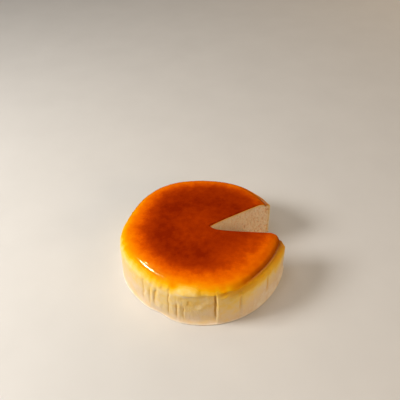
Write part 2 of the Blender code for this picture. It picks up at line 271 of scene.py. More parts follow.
def wallOffset(angle, height):
    # Folds, plus a spread foot, less a slight hollow over it, the sloping front panels and the low dent,
    # plus three noises: flutes (ridges where the noise crosses 0), slow panels and a band of lumps
    marks = wallMarks
    angle = angle % 360
    band = cake["footBand"]
    offset = foldRelief(angle, height) + cake["footSpread"] * (1 - ease(height / band))
    depth, place, halfWidth = cake["hollow"]
    offset -= depth * bell((height - place * band) / (halfWidth * band))
    for start, end, depth, top in marks["slopes"]:
        turn = angleFrom(angle, 0.5 * (start + end)) / (end - start) + 0.5
        share = np.clip(turn, 0, 1) * (1 - ease((turn - 1) * (end - start) / marks["stepWidth"]))
        below = 1 - ease((height - top) / marks["slopeFade"] + 0.5)
        offset -= depth * share * below * ease(height / (2 * band))
    middle, halfSpan, depth, top = marks["dent"]
    offset -= depth * bell(angleFrom(angle, middle) / halfSpan) * (1 - ease(height / top))
    coarse, fine = (cellNoise(angle, height, cell) for cell in marks["fluteCells"])
    flutes = 0.5 - np.abs(coarse) + 0.5 * fine
    offset += marks["flutes"] * flutes * ease(height / marks["flutesOver"])
    panels = cellNoise(angle, height, marks["panelCell"])
    offset += marks["panels"] * panels * ease(height / marks["panelsOver"])
    coarse, fine = (cellNoise(angle, height, cell) for cell in marks["lumpCells"])
    middle, halfSpan, shareOff = marks["smoothLump"]
    lumps = (coarse + 0.5 * fine) * (1 - shareOff * bell(angleFrom(angle, middle) / halfSpan))
    return offset + marks["lumps"] * lumps * bellAt(height, marks["lumpBand"])


# The browned cap has pulled in from the shoulder on the right, and the corner by the cut has sunk
rimMarks = {
    "startAngle": -80,
    "fullAngle": -46,
    "endAngle": 62,
    "startRadius": 73.6,
    "grooveRadius": 69.4,
    "grooveHalfWidth": 1.4,
    "grooveDepth": 2,
    "capFallWidth": 8.5,
    "capFall": 2,
    "sag": (-10, 8, 6, 65.5),  # angle, half span, depth, inner radius
}


def grooveStrength(angle):
    # how far the cap has pulled in, an S-curve up times one down, and the groove's radius, which
    # shrinks with the first curve
    marks = rimMarks
    turn = angleFrom(angle, 0)
    span = marks["fullAngle"] - marks["startAngle"]
    rise = ease((turn - marks["startAngle"]) / span)
    middle = marks["startRadius"] + (marks["grooveRadius"] - marks["startRadius"]) * rise
    return rise * ease((marks["endAngle"] - turn) / span), middle


def rimGroove(angle, radius):
    # depth of the cap's fall, an S-curve down to the groove, plus the groove, a bell across its radius
    marks = rimMarks
    strength, middle = grooveStrength(angle)
    fall = marks["capFall"] * ease((radius - middle) / marks["capFallWidth"] + 1)
    groove = marks["grooveDepth"] * bell((radius - middle) / marks["grooveHalfWidth"])
    outerEnd = ease((cake["radius"] - radius) / (2 * marks["grooveHalfWidth"]))
    return strength * (fall + groove) * outerEnd


def cornerSag(angle, radius):
    # depth of the sunk corner: an S-curve out from the inner radius times a bell round its angle
    middle, halfSpan, depth, inner = rimMarks["sag"]
    outwards = ease((radius - inner) / (cake["radius"] - inner))
    return depth * outwards * bell(angleFrom(angle, middle) / halfSpan)


def topOffset(angle, radius):
    # a few slow sine waves across the top, less the groove
    turn = np.radians(angle)
    offset = -rimGroove(angle, radius)
    for wavesX, wavesY, phase, height in cake["topWaves"]:
        wave = wavesX * np.cos(turn) + wavesY * np.sin(turn)
        offset += height * np.sin(wave * radius * math.pi / cake["radius"] + phase)
    return offset


def topHeight(radius):
    # the rim's height plus the dome, 1 less a power of the radius, less the shoulder's quarter ellipse
    out = np.clip((radius - capRadius) / cake["shoulderWidth"], 0, 1)
    dome = cake["domeRise"] * (1 - np.minimum(radius / capRadius, 1) ** cake["domePower"])
    return cake["rimHeight"] + dome - cake["shoulderDrop"] * (1 - np.sqrt(1 - out * out))


# The open wedge: two cuts that meet in a blunt tip near the middle, the near one bowed into the cake
wedge = {
    "tip": (6.5, 1.2),
    "nearAngle": -11,
    "farAngle": 31,
    "bow": 5.6,
    "bowGrowth": 4,
    "bowLength": 56,
    "bowAtBase": 0.45,
    "bowSpan": 90,  # degrees in which the bow dies out
    "edgeRounding": 1,
    "tipRounding": 2.2,
    "tipLength": 6,
    # travel, share of the rounding there
    "roundingShare": ((0, 1), (1.2, 1), (2, 0.5), (3, 0.5), (3.6, 0.3), (4, 0)),
    "tipBlend": 4,  # mm in which the push turns square to a cut
    "pushSpan": 60,  # degrees in which the push dies out
    "rimHeld": (0.8, 0.2),  # travel, start and length, where the rim keeps its radius
    "skinThickness": 0.70,
}
tipPoint = np.array(wedge["tip"])
farAlong, nearAlong = direction(wedge["farAngle"]), direction(wedge["nearAngle"])
farAcross = np.array((-farAlong[1], farAlong[0]))  # into the cake from the far cut
nearAcross = np.array((nearAlong[1], -nearAlong[0]))
backward = -direction(0.5 * (wedge["farAngle"] + wedge["nearAngle"]))
firstRay, lastRay = wedge["farAngle"], 360 + wedge["nearAngle"]  # round the cake, cut to cut


def rayLength(ray, radius):
    # distance along a ray from the wedge's tip to a circle round the axis: a quadratic's larger root
    toward = direction(ray) @ tipPoint
    return -toward + np.sqrt(toward * toward - tipPoint @ tipPoint + radius * radius)


def cutBow(reach, ray, level):
    # how far the near cut bows into the cake: an exponential rise, a parabola's fall further out, less
    # at the base (level 0) than at the top (level 1), and an S-curve down to none on other rays
    cut = wedge
    falling = np.clip(1 - (reach / cut["bowLength"]) ** 2, 0, 1)
    bow = cut["bow"] * (1 - np.exp(-reach / cut["bowGrowth"])) * falling
    bow = bow * (cut["bowAtBase"] + (1 - cut["bowAtBase"]) * level)
    return bow * ease(1 - (lastRay - ray) / cut["bowSpan"])


def pushWay(reach, ray):
    # into the cake: straight back at the tip, and square to a cut beside it, by an exponential blend
    atTip = np.exp(-reach / wedge["tipBlend"])
    byFar = (1 - atTip) * ease(1 - (ray - firstRay) / wedge["pushSpan"])
    byNear = (1 - atTip) * ease(1 - (lastRay - ray) / wedge["pushSpan"])
    return atTip[..., None] * backward + byFar[..., None] * farAcross + byNear[..., None] * nearAcross


def sectionPoint(travel):
    # radius and height of the turned form, by sines and cosines of a quarter turn for the shoulder and
    # the foot, and the outward normal: the ellipse's, and on the foot the circle's
    form = cake
    turn = 0.5 * math.pi * np.clip(travel - 1, 0, 1)
    footTurn = 0.5 * math.pi * np.clip(travel - 3, 0, 1)
    radius = capRadius + form["shoulderWidth"] * np.sin(turn) - form["footRounding"] * (1 - np.cos(footTurn))
    height = form["rimHeight"] - form["shoulderDrop"] * (1 - np.cos(turn))
    height += (form["footRounding"] - wallTop) * np.clip(travel - 2, 0, 1)
    height -= form["footRounding"] * np.sin(footTurn)
    normalOut, normalUp = form["shoulderDrop"] * np.sin(turn), form["shoulderWidth"] * np.cos(turn)
    size = np.hypot(normalOut, normalUp)
    normalOut = np.where(travel > 3, np.cos(footTurn), normalOut / size)
    normalUp = np.where(travel > 3, -np.sin(footTurn), normalUp / size)
    return radius, height, normalOut, normalUp


def placed(plan, height):
    # a point of the plan, moved to the cake's axis and given its height
    axisX, axisY = cake["axis"]
    return np.stack((plan[..., 0] + axisX, plan[..., 1] + axisY, height), -1)


def cakePoint(travel, ray, pushShare=1, pushExtra=0, dropShare=0, dropExtra=0):
    # A point of the baked surface. travel runs 0 to 1 from the wedge's tip to the cap's edge, to 2 down
    # the shoulder, to 3 down the wall and to 4 round the foot; ray is the direction from the tip in
    # degrees. The push moves it into the cake away from the cuts, and the drop moves it under the skin:
    # each is a share of the cut's rounding plus some mm
    form, cut = cake, wedge
    travel, ray = np.broadcast_arrays(np.asarray(travel, float), np.asarray(ray, float))
    onCap = travel < 1
    rowRadius, rowHeight, normalOut, normalUp = sectionPoint(travel)
    reach = np.where(onCap, np.clip(travel, 0, 1) * rayLength(ray, capRadius), rayLength(ray, rowRadius))
    straight = tipPoint + reach[..., None] * direction(ray)
    tipShare = np.exp(-reach / cut["tipLength"])
    rounding = cut["edgeRounding"] + (cut["tipRounding"] - cut["edgeRounding"]) * tipShare
    rounding = rounding * between(travel, cut["roundingShare"])
    plan = straight + cutBow(reach, ray, 1)[..., None] * nearAcross
    plan += (rounding * pushShare + pushExtra)[..., None] * pushWay(reach, ray)
    radius = np.hypot(plan[..., 0], plan[..., 1])
    angle = np.degrees(np.arctan2(plan[..., 1], plan[..., 0]))
    # the rim stays on its own circle, whatever the push
    ownRadius = np.where(onCap, np.hypot(straight[..., 0], straight[..., 1]), rowRadius)
    radius += (ownRadius - radius) * rising(travel, cut["rimHeld"])
    height = np.where(onCap, topHeight(np.minimum(radius, capRadius)), rowHeight)
    # each offset fades in where it belongs
    start, length = form["wavesFrom"]
    onTop = ease((height - start * form["rimHeight"]) / (length * form["rimHeight"]))
    aboveBase = ease(height / (form["sagOver"] * form["rimHeight"]))
    onWall = ease((radius - capRadius) / (form["wallFrom"] * form["shoulderWidth"]))
    drop = rounding * dropShare + dropExtra
    shapedRadius = radius * outlineFactor(angle) + onWall * wallOffset(angle, height) - drop * normalOut
    shapedHeight = height + onTop * topOffset(angle, radius) - aboveBase * cornerSag(angle, radius)
    shapedHeight -= drop * normalUp
    return placed(shapedRadius[..., None] * direction(angle), shapedHeight), angle, radius, height


def baseLine(share, ray, push):
    # a cut's lower edge on the base: a straight line from the tip to the foot, plus the bow and the push
    reach = share * rayLength(ray, cake["radius"] - cake["footRounding"])
    plan = tipPoint + reach[..., None] * direction(ray)
    plan += cutBow(reach, ray, 0)[..., None] * nearAcross + push * pushWay(reach, ray)
    return placed(plan, np.zeros_like(reach))


def cutPatch(topEdge, outerEdge, ray, push):
    # Fills a cut's four edges by adding the two straight blends and taking off the corners' blend. The
    # base edge bends to meet the foot, by the fourth power of its share, and the tip edge is straight
    along = np.linspace(0, 1, len(topEdge))[:, None]
    down = np.linspace(0, 1, len(outerEdge))[:, None]
    baseEdge = baseLine(along[:, 0], ray, push)
    baseEdge += (outerEdge[-1] - baseEdge[-1]) * along ** 4
    tipEdge = topEdge[0] + (baseEdge[0] - topEdge[0]) * down
    along, down = along[:, None], down[None]
    blend = (1 - down) * topEdge[:, None] + down * baseEdge[:, None]
    blend = blend + (1 - along) * tipEdge[None] + along * outerEdge[None]
    tipCorners = (1 - down) * tipEdge[0] + down * tipEdge[-1]
    outerCorners = (1 - down) * outerEdge[0] + down * outerEdge[-1]
    return blend - ((1 - along) * tipCorners + along * outerCorners)


def gridFaces(rows, columns, start=0, flipped=False):
    # four-sided faces of a grid whose points are stored row by row
    row, column = np.meshgrid(np.arange(rows - 1), np.arange(columns - 1), indexing="ij")
    corner = (start + row * columns + column).ravel()
    faces = np.stack((corner, corner + columns, corner + columns + 1, corner + 1), -1)
    return (faces[:, ::-1] if flipped else faces).tolist()


def meshPiece(name, points, faces, values, material):
    # points in mm become one mesh in metres; doubles are merged, so seams and the tip are closed
    mesh = bpy.data.meshes.new(name)
    mesh.from_pydata((points * mm).tolist(), [], [face for part in faces for face in part])
    for key, numbers in values.items():
        numbers = np.asarray(numbers, np.float32)
        kind, field = ("FLOAT", "value") if numbers.ndim == 1 else ("FLOAT_VECTOR", "vector")
        mesh.attributes.new(key, kind, "POINT").data.foreach_set(field, numbers.ravel())
    shape = bmesh.new()
    shape.from_mesh(mesh)
    bmesh.ops.remove_doubles(shape, verts=shape.verts, dist=mergeDistance)
    bmesh.ops.recalc_face_normals(shape, faces=shape.faces)
    shape.to_mesh(mesh)
    openEdges = sum(1 for edge in shape.edges if len(edge.link_faces) != 2)
    shape.free()
    mesh.shade_smooth()
    corners = np.zeros(len(mesh.polygons), np.int32)
    mesh.polygons.foreach_get("loop_total", corners)
    mesh.polygons.foreach_set("use_smooth", corners <= 4)  # the flat base stays flat
    mesh.materials.append(material)
    piece = bpy.data.objects.new(name, mesh)
    bpy.context.scene.collection.objects.link(piece)
    print(name, "has", int(corners.sum()) - 2 * len(corners), "triangles and", openEdges, "open edges")
    return piece


# How brown each point of the surface is, from 0 on the pale wall to 1 on the darkest crust; some entries add
# painted shade and painted highlights. Travel here is the distance in mm from the middle along the surface
browning = {
    "brown": ((0, 0.90), (15, 0.88), (30, 0.95), (40, 0.96), (48, 0.88), (54, 0.70), (58, 0.61), (62, 0.52),
              (65, 0.45), (68, 0.39), (71, 0.32), (72.5, 0.25), (73.7, 0.165), (75.2, 0.110), (80, 0.097),
              (84, 0.08), (90, 0.055)),  # travel, brown
    # angle, mm that the brown reaches further out; it sets in at and over these travels
    "shift": ((-135, 0), (-110, 1.5), (-85, 1), (-60, 5.5), (-30, 5.5), (0, 7), (60, 8), (90, 8),
              (120, 7), (150, 4), (180, 2.5), (200, 0)),
    "shiftFrom": (44, 14),
    # angle, how far the yellow stretches down, from this travel on; the longer stretch on the right-hand wall
    # is partly painted shade
    "reach": ((-145, 1.4), (-125, 1.6), (-115, 1.9), (-95, 1.8), (-85, 1.9), (-75, 2.3), (-60, 3.1),
              (0, 3.7), (60, 2.6), (120, 1.7), (170, 1.3), (195, 1.1)),
    "reachFrom": 72,
    # painted shade: angle, extra yellow on the shaded right-hand wall; it rises from a travel over a length,
    # then falls likewise
    "shadeYellow": ((-115, 0), (-95, 0.01), (-85, 0.01), (-75, 0.02), (-60, 0.04), (0, 0.055), (60, 0.03),
               (120, 0)),
    "shadeYellowBand": ((74, 4), (106, -20)),
    # noise in mm: amount, and a cell of degrees round the cake, mm outwards and a seed
    "wander": ((1.1, (9, 30, 21)), (0.7, (3.1, 9, 22))),
    "edgeWander": (1.1, 2.3, 5, 23),  # the glaze's uneven edge: mm, degrees a cell, row, seed
    "edgeFrom": (66, 6),
    # darker spots: x, y, size, amount; the last one is lighter
    "spots": ((-33, 31, 5.5, 0.07), (-23, 26, 4.5, 0.07), (-30, -4, 5, 0.06), (-39, -10, 4, 0.06),
              (-2, -34, 3.2, 0.14), (-18, 46, 5.5, 0.05), (3, -22, 2.5, 0.06), (-37, -37, 7, 0.04),
              (19, -34, 11, -0.07)),
    "paleSector": (318, 36, 0.15),  # lighter towards the right-hand front: angle, half span, amount
    "paleSectorBand": ((22, 26), (68, -12)),
    # angle, half span, travel, half span, amount: the wide lump is paler, partly its own pale skin and partly
    # a painted highlight where it faces the light, and the glaze ran low beside it
    "patches": ((-102.5, 6, 72.8, 4, -0.25), (-109.5, 3.5, 71.5, 2.4, 0.12)),
    "paleLip": (0.08, 2),  # the lip outside the groove stayed yellower: amount, mm
    "shoulderLeast": (77, 0.125),  # nothing is paler than this inside this travel
    "grooveShadeBrown": (0.05, (-0.4, 1.6)),  # painted shade, browner beside the groove: amount, place and half width
    "paintedFootHighlight": (0.09, 0.6, 1.8),  # painted highlight, a paler line where the spread foot catches the light: amount, height, mm in which it fades
    "most": 1.05,
    "cutEdge": (0.25, 0.25, 0.40, 0.80),  # share of the brown in the first columns at a cut
    "recess": 0.2,  # the brown behind the crumb
    "crease": (0.8, 38),  # depth of a crease with the full painted shade, and the highest one
    "grooveShadeTint": ((0.7, 2.6), 30),  # painted shade in the groove: place past the groove and half width, lowest height
    "unglazed": (-1, 2),  # place past the groove, mm in which the glaze ends
}
shoulderArc = 1.05  # length of the shoulder's curve for each mm of its chord


def surfaceTravel(radius, height):
    # distance along the section from the middle: the radius on the cap, then the chord of the shoulder
    # times its arc factor, then the drop down the wall
    below = np.clip(cake["rimHeight"] - height, 0, None)
    out = np.clip(radius - capRadius, 0, None)
    chord = np.hypot(out, np.minimum(below, cake["shoulderDrop"]))
    past = capRadius + chord * shoulderArc + np.clip(wallTop - height, 0, None)
    return np.where(radius <= capRadius, radius, past)


def brownness(angle, radius, height, x, y):
    # The brown at a wandering travel, shifted and stretched by angle, plus painted shade as the side's
    # yellow, less a paler sector, and bells for patches (one partly a painted highlight), spots, the lip, the
    # groove's painted shade and the foot's painted highlight
    bake = browning
    angle = angle % 360
    travel = surfaceTravel(radius, height)
    wander = sum(amount * cellNoise(angle, radius, cell) for amount, cell in bake["wander"])
    amount, cellWidth, row, seed = bake["edgeWander"]
    edge = amount * lattice(angle / cellWidth, 0 * angle + row, seed) * rising(travel, bake["edgeFrom"])
    shift = between(angle, bake["shift"], 360) * rising(travel, bake["shiftFrom"])
    travelled = travel + wander + edge - shift
    start = bake["reachFrom"]
    stretched = start + (travelled - start) / between(angle, bake["reach"], 360)
    value = between(np.where(travelled > start, stretched, travelled), bake["brown"])
    # painted shade: the shaded right-hand wall is made yellower
    start, end = bake["shadeYellowBand"]
    value += between(angle, bake["shadeYellow"], 360) * rising(travel, start) * rising(travel, end)
    middle, halfSpan, amount = bake["paleSector"]
    start, end = bake["paleSectorBand"]
    sector = bell(angleFrom(angle, middle) / halfSpan)
    value -= amount * sector * (rising(travel, start) * rising(travel, end))
    # the first patch's paleness is partly a painted highlight on the wide lump
    for middle, halfSpan, place, width, amount in bake["patches"]:
        value += amount * bell(angleFrom(angle, middle) / halfSpan) * bell((travel - place) / width)
    for spotX, spotY, size, amount in bake["spots"]:
        value += amount * bell(np.hypot(x - spotX, y - spotY) / size)
    strength, middle = grooveStrength(angle)
    amount, length = bake["paleLip"]
    value -= amount * strength * ease((radius - middle) / length)
    end, least = bake["shoulderLeast"]
    value = np.where(travel < end, np.maximum(value, least), value)
    # painted shade: browner beside the groove
    amount, spot = bake["grooveShadeBrown"]
    value += amount * strength * bellAt(radius - middle, spot)
    # painted highlight: paler along the foot
    amount, start, length = bake["paintedFootHighlight"]
    foot = amount * (1 - ease((height - start) / length)) * (radius > capRadius)
    return np.clip(value - foot, 0, bake["most"])


# The skin's grid: rows along the section by rays from the tip
skinGrid = {
    "rows": (60, 26, 48, 3),  # on the cap, the shoulder, the wall and the foot
    "rays": 521,
    "samples": 6001,
    "crowding": (2.6, 0.8),  # extra rays at an upright fold and at a slanting one
    "uprightLean": 2,  # degrees that an upright fold may lean
    "crowdingHalfWidth": 1.4,
    "rollColumns": 4,  # columns that roll the skin over a cut's edge
}


def crowdedRays():
    # rays that crowd towards the folds: equal steps of the running sum of a density, which is 1 plus
    # a bell for each fold
    grid = skinGrid
    samples = np.linspace(firstRay, lastRay, grid["samples"])
    density = np.ones_like(samples)
    for startAngle, _, endAngle, _, _, _ in folds:
        spot = direction(0.5 * (startAngle + endAngle)) * cake["radius"] - tipPoint
        ray = math.degrees(math.atan2(spot[1], spot[0]))
        crowd = grid["crowding"][0 if abs(endAngle - startAngle) < grid["uprightLean"] else 1]
        density += crowd * bell(angleFrom(samples, ray) / grid["crowdingHalfWidth"])
    running = np.concatenate(([0], np.cumsum(0.5 * (density[1:] + density[:-1]))))
    return np.interp(np.linspace(0, running[-1], grid["rays"]), running, samples)


def skinPiece(material):
    # Grid of rows along the section by rays from the wedge's tip, rolled over at both cuts by a quarter
    # circle, then the skin's thickness, a shallow recess that the crumb fills, and the flat base
    bake, grid, recess, thickness = browning, skinGrid, crumbForm["recess"], wedge["skinThickness"]
    stretches = [number + np.linspace(0, 1, count + 1)[1:] for number, count in enumerate(grid["rows"])]
    rowTravel = np.concatenate([[0]] + stretches)
    cornerRow = grid["rows"][0] + grid["rows"][1] // 2  # halfway down the shoulder
    rays = crowdedRays()
    roll = np.radians(np.linspace(90, 0, grid["rollColumns"] + 1))[:-1]
    # columns at a cut: share of the push, extra push, share of the drop, extra drop
    edge = np.vstack((
        (0, recess, 1, thickness),  # back in the recess
        (0, 0, 1, thickness),  # the skin's lower edge
        (0, 0, 1, 0.5 * thickness),
        np.column_stack((1 - np.sin(roll), 0 * roll, 1 - np.cos(roll), 0 * roll)),
    ))
    columnRay = np.concatenate(([firstRay] * len(edge), rays, [lastRay] * len(edge)))
    moves = np.concatenate((edge, np.tile((1, 0, 0, 0), (len(rays), 1)), edge[::-1])).T
    points, angle, radius, height = cakePoint(rowTravel[:, None], columnRay, *moves)
    points[-1, :, 2] = 0
    # the brown, with its painted shade and painted highlights
    brown = brownness(angle, radius, height, points[..., 0], points[..., 1])
    cutEdge = np.array(bake["cutEdge"])
    brown[:, :len(cutEdge)] *= cutEdge
    brown[:, -len(cutEdge):] *= cutEdge[::-1]
    # painted shade in the creases, darker where a crease is deeper
    fullDepth, highest = bake["crease"]
    crease = np.clip(-foldRelief(angle, height) / fullDepth, 0, 1) * (height < highest)
    strength, middle = grooveStrength(angle)
    # painted shade in the groove
    spot, lowest = bake["grooveShadeTint"]
    groove = strength * bellAt(radius - middle, spot) * (height > lowest)
    unglazed = strength * rising(radius - middle, bake["unglazed"])
    around = np.stack((np.radians(angle % 360) * cake["radius"], height, 0 * height), -1)
    rows, columns = points.shape[:2]
    allPoints, faces, baseEdges = [points.reshape(-1, 3)], [gridFaces(rows, columns)], []
    start = rows * columns
    for ray, column, flipped in ((firstRay, 0, False), (lastRay, columns - 1, True)):
        patch = cutPatch(points[:cornerRow + 1, column], points[cornerRow:, column], ray, recess)
        allPoints.append(patch.reshape(-1, 3))
        faces.append(gridFaces(*patch.shape[:2], start, flipped))
        index = start + np.arange(patch.size // 3).reshape(patch.shape[:2])
        baseEdges.append(index[:, -1])
        start += index.size
    # the flat base is two outlines that meet on the line from the tip straight back
    foot = np.arange((rows - 1) * columns, rows * columns)
    half = len(foot) // 2
    faces.append([np.concatenate((foot[:half + 1], baseEdges[0][:-1])).tolist(),
                  np.concatenate((foot[half:], baseEdges[1][-2::-1])).tolist()])
    recessSize = start - rows * columns
    values = {"around": np.vstack((around.reshape(-1, 3), np.zeros((recessSize, 3)))) * mm}
    for name, mark, inRecess in (("browning", brown, bake["recess"]), ("crease", crease, 0),
                                 ("groove", groove, 0), ("unglazed", unglazed, 0)):
        values[name] = np.concatenate((mark.ravel(), np.full(recessSize, inRecess)))
    return meshPiece("cheesecakeSkin", np.vstack(allPoints), faces, values, material)


# Airy crumb in the two cuts: grains of 1 to 3 mm, drawn out upwards by the cutting
crumbForm = {
    "columns": 190,
    "rows": 112,
    "setBack": 0.35,  # the crumb's face behind the cut's edge
    "overlap": 0.28,  # its reach up into the skin
    "thickness": 2.8,
    "recess": 3.4,  # how far back the skin's own face stands
    "seeds": (40, 60),  # of the far cut and the near one
    "topTravel": ((0, 0), (0.89, 1), (1, 1.5)),  # share of the edge, travel there
    "outerTravel": ((0, 1.5), (0.2, 2), (0.96, 3), (1, 4)),
    # grains: size, upright stretch, depth, painted shade of the clefts, least share, power of the coarseness
    "grains": ((2.9, 1.25, 1.55, 0.55, 0, 1.3), (1.5, 1.3, 0.95, 0.55, 0.30, 1),
               (0.85, 1.2, 0.34, 0.35, 0.75, 1)),
    "grainSeed": 5,
    "coarseness": (0.05, 0.75, 0.45, 1.1),  # least, more to the rim, more to the base, most
    "cutSize": (68, 41),  # length and height that those refer to
    # mm sideways and upwards that the grains wander, each with a cell of mm along, mm up and a seed
    "warps": ((0.9, (4, 6, 1)), (1.2, (5, 4, 2))),
    "grainPower": (1.8, 1.4),  # a grain falls by this power of the distance, times this
    "cleftFrom": (0.45, 0.5),  # distance at and over which the painted shade of a cleft sets in
    "torn": (0.45, 0.25, (3.2, 4.4, 11)),  # torn patches: depth, painted shade, cell
    "tornFrom": (0.15, 0.5),  # noise at and over which they set in
    # streaks: depth, painted shade, cell
    "streaks": (0.14, 0.10, (1.4, 7, 13)),
    # the most painted shade
    "darkest": 1.3,
    "quietEdge": 1.2,  # mm under the skin in which the relief grows
    "quietTip": 0.8,  # share of the relief lost at the tip
    "deepest": 2.8,
    "middleDepth": 0.75,  # depth that stays at the cut's plane
    "rind": (1.6, 1.4),  # mm of denser crumb under the top and inside the rim
}


def crumbRelief(along, height, seed):
    # depth into the cake and a painted shade that grows with it: rounded grains by a power of the distance to
    # their middle, with clefts between them, torn patches and streaks, coarser to the rim and the base
    crumb = crumbForm
    least, toRim, toBase, most = crumb["coarseness"]
    length, cutHeight = crumb["cutSize"]
    coarse = np.clip(least + toRim * along / length + toBase * (1 - height / cutHeight) ** 2, 0, most)
    warpX, warpY = (amount * cellNoise(along, height, cell, seed) for amount, cell in crumb["warps"])
    power, factor = crumb["grainPower"]
    depth, paintedShade = np.zeros_like(along), np.zeros_like(along)
    for number, (size, stretch, grainDepth, grainDark, leastShare, sharePower) in enumerate(crumb["grains"]):
        ownSeed = seed + crumb["grainSeed"] + number
        away = cellDistance((along + warpX) / size, (height + warpY) / (size * stretch), ownSeed)
        share = leastShare + (1 - leastShare) * coarse ** sharePower
        depth += grainDepth * share * (np.clip(away, 0, 1) ** power * factor)
        paintedShade += grainDark * share * rising(away, crumb["cleftFrom"])
    tornDepth, tornDark, cell = crumb["torn"]
    torn = rising(cellNoise(along, height, cell, seed), crumb["tornFrom"]) * coarse
    streakDepth, streakDark, cell = crumb["streaks"]
    streaks = cellNoise(along, height, cell, seed)
    paintedShade = np.clip(paintedShade + tornDark * torn + streakDark * streaks, 0, crumb["darkest"])
    return depth + tornDepth * torn + streakDepth * streaks, paintedShade


def roundTheTip(halves):
    # the far half, turned to end at the tip, then the near half without its own tip column
    return np.concatenate((halves[0][::-1], halves[1][1:]))


def crumbPiece(material):
    # one slab bent round the tip: a relief face and a plain back, stitched round their edges
    crumb = crumbForm
    fronts, backs, paintedShades, rinds = [], [], [], []
    under = wedge["skinThickness"] - crumb["overlap"]
    topTravel = between(np.linspace(0, 1, crumb["columns"] + 1), crumb["topTravel"])
    outerTravel = between(np.linspace(0, 1, crumb["rows"] + 1), crumb["outerTravel"])
    quiet, (rindTop, rindRim) = crumb["quietEdge"], crumb["rind"]
    tipX, tipY = tipPoint + cake["axis"]
    for ray, seed in zip((firstRay, lastRay), crumb["seeds"]):
        for push, store in ((crumb["setBack"], fronts), (crumb["setBack"] + crumb["thickness"], backs)):
            topEdge = cakePoint(topTravel, ray, 0, push, 1, under)[0]
            outerEdge = cakePoint(outerTravel, ray, 0, push, 1, under)[0]
            outerEdge[:, 2] = np.maximum(outerEdge[:, 2], 0)
            store.append(cutPatch(topEdge, outerEdge, ray, push))
        front = fronts[-1]
        along = np.hypot(front[..., 0] - tipX, front[..., 1] - tipY)
        depth, paintedShade = crumbRelief(along, front[..., 2], seed)
        fromTop, fromRim = front[:, :1, 2] - front[..., 2], along[-1:, :] - along
        inner = ease(fromTop / quiet) * ease(fromRim / quiet)
        atTip = np.exp(-along / wedge["tipBlend"])
        move = inner * (np.minimum(depth, crumb["deepest"]) - crumb["middleDepth"])
        front[..., :2] += (move * (1 - crumb["quietTip"] * atTip))[..., None] * pushWay(along, ray)
        paintedShades.append(paintedShade * inner)
        rinds.append(np.maximum(bell(fromTop / rindTop), bell(fromRim / rindRim)))
    front, back = roundTheTip(fronts), roundTheTip(backs)
    front[..., 2] = np.maximum(front[..., 2], 0)
    rows, columns = front.shape[:2]
    index = np.arange(rows * columns).reshape(rows, columns)
    loop = np.concatenate((index[:, 0], index[-1, 1:], index[-2::-1, -1], index[0, -2:0:-1]))
    after = np.roll(loop, -1)
    stitch = np.stack((loop, after, after + index.size, loop + index.size), -1).tolist()
    faces = [gridFaces(rows, columns), gridFaces(rows, columns, index.size, True), stitch]
    points = np.vstack((front.reshape(-1, 3), back.reshape(-1, 3)))
    values = {"gap": np.tile(roundTheTip(paintedShades).ravel(), 2), "rind": np.tile(roundTheTip(rinds).ravel(), 2)}
    return meshPiece("cheesecakeCrumb", points, faces, values, material)


def linearColour(code):
    # sRGB hex to linear red, green, blue and alpha
    parts = [int(code[start:start + 2], 16) / 255 for start in (1, 3, 5)]
    return (*(part / 12.92 if part <= 0.04045 else ((part + 0.055) / 1.055) ** 2.4 for part in parts), 1)


def addNode(tree, kind, settings=None, inputs=None, links=None, output=0):
    # one node with its settings, socket values and incoming links; kind leaves out ShaderNode
    node = tree.nodes.new("ShaderNode" + kind)
    for key, value in (settings or {}).items():
        setattr(node, key, value)
    for key, value in (inputs or {}).items():
        node.inputs[key].default_value = value
    for key, socket in (links or {}).items():
        tree.links.new(socket, node.inputs[key])
    return node.outputs[output] if node.outputs else None


def addRows(tree, rows):
    # a node a row: name, kind, settings, socket values, names that feed its sockets, and maybe its output
    made = {}
    for name, kind, settings, inputs, links, *output in rows:
        sources = {key: made[source] for key, source in links.items()}
        made[name] = addNode(tree, kind, settings, inputs, sources, *output)
    return made


# settings that several nodes share
adding, multiplying = {"operation": "ADD"}, {"operation": "MULTIPLY"}
multiplyAdding = {"operation": "MULTIPLY_ADD"}
easing = {"interpolation_type": "SMOOTHSTEP"}
mixing = {"data_type": "RGBA"}


def newMaterial(name):
    # an empty node tree to fill
    material = bpy.data.materials.new(name)
    material.use_nodes = True
    material.node_tree.nodes.clear()
    return material, material.node_tree


def finishMaterial(tree, values, links):
    # the surface with its uniform values and its patterns, and the output
    shader = addNode(tree, "BsdfPrincipled", inputs=values, links=links)
    addNode(tree, "OutputMaterial", links={"Surface": shader})


def rangeOf(values):
    # from and to limits for the sockets of a Map Range node, which come after its first one
    return dict(enumerate(values, 1))


def setRamp(socket, stops):
    # the stops of a colour ramp, each a position and an sRGB hex code
    ramp = socket.node.color_ramp
    while len(ramp.elements) > 1:
        ramp.elements.remove(ramp.elements[-1])
    ramp.elements[0].position, ramp.elements[0].color = stops[0][0], linearColour(stops[0][1])
    for position, code in stops[1:]:
        ramp.elements.new(position).color = linearColour(code)


